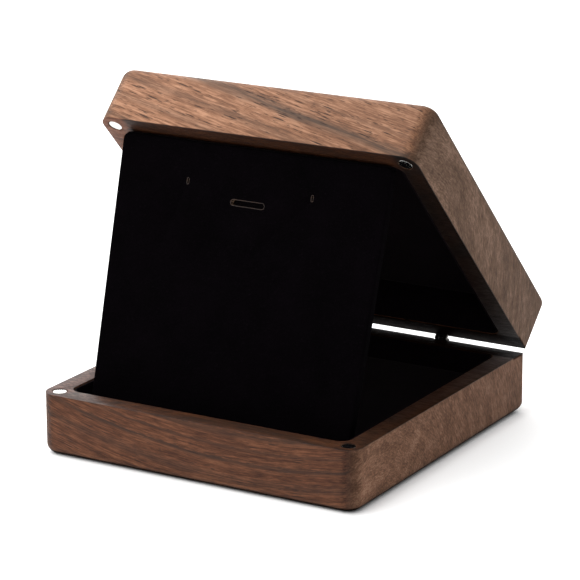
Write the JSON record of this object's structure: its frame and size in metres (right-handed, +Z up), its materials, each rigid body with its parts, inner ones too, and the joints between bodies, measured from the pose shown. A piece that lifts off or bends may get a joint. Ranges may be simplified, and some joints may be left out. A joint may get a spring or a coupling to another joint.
{
  "type": "necklace box",
  "caption": "Small square walnut box with a velvet lining, a hinged lid, rim magnets and a velvet display card that props the lid open.",
  "frame": {"origin": "centre of the underside of the base, on the surface that the box stands on", "axes": "+Z up, +Y from the front to the hinges, +X to the right seen from the front"},
  "size_m": [0.1, 0.1127, 0.101],
  "materials": {
    "walnut": "satin oiled walnut with open pores and darker streaks",
    "velvet": "black short-pile velvet",
    "board": "matt brown board",
    "nickel": "bright nickel plate",
    "hinge_steel": "darkened steel, satin"
  },
  "bodies": {
    "base": {"base_shell": "walnut", "base_cushion": "velvet", "base_wall_lining": "velvet", "base_magnet_left": "nickel", "base_magnet_right": "nickel", "base_leaf_left": "hinge_steel", "base_leaf_right": "hinge_steel", "hinge_pin_left": "hinge_steel", "hinge_pin_right": "hinge_steel", "base_screw_left_near": "hinge_steel", "base_screw_left_far": "hinge_steel", "base_screw_right_near": "hinge_steel", "base_screw_right_far": "hinge_steel"},
    "lid": {"lid_shell": "walnut", "lid_pad": "velvet", "lid_wall_lining": "velvet", "lid_magnet_left": "nickel", "lid_magnet_right": "nickel", "lid_leaf_left": "hinge_steel", "lid_leaf_right": "hinge_steel", "lid_screw_left_near": "hinge_steel", "lid_screw_left_far": "hinge_steel", "lid_screw_right_near": "hinge_steel", "lid_screw_right_far": "hinge_steel"},
    "card": {"card_cover": "velvet", "card_core": "board", "card_backing": "velvet"}
  },
  "joints": [
    {"name": "lid_hinge", "type": "hinge", "parent": "base", "child": "lid", "pos_m": [0, 0.051, 0.0166], "axis": [-1, 0, 0], "range_deg": [0, 111]},
    {"name": "card_tilt", "type": "hinge", "parent": "base", "child": "card", "pos_m": [0, -0.0356, 0.0123], "axis": [-1, 0, 0], "range_deg": [0, 73.5]}
  ]
}
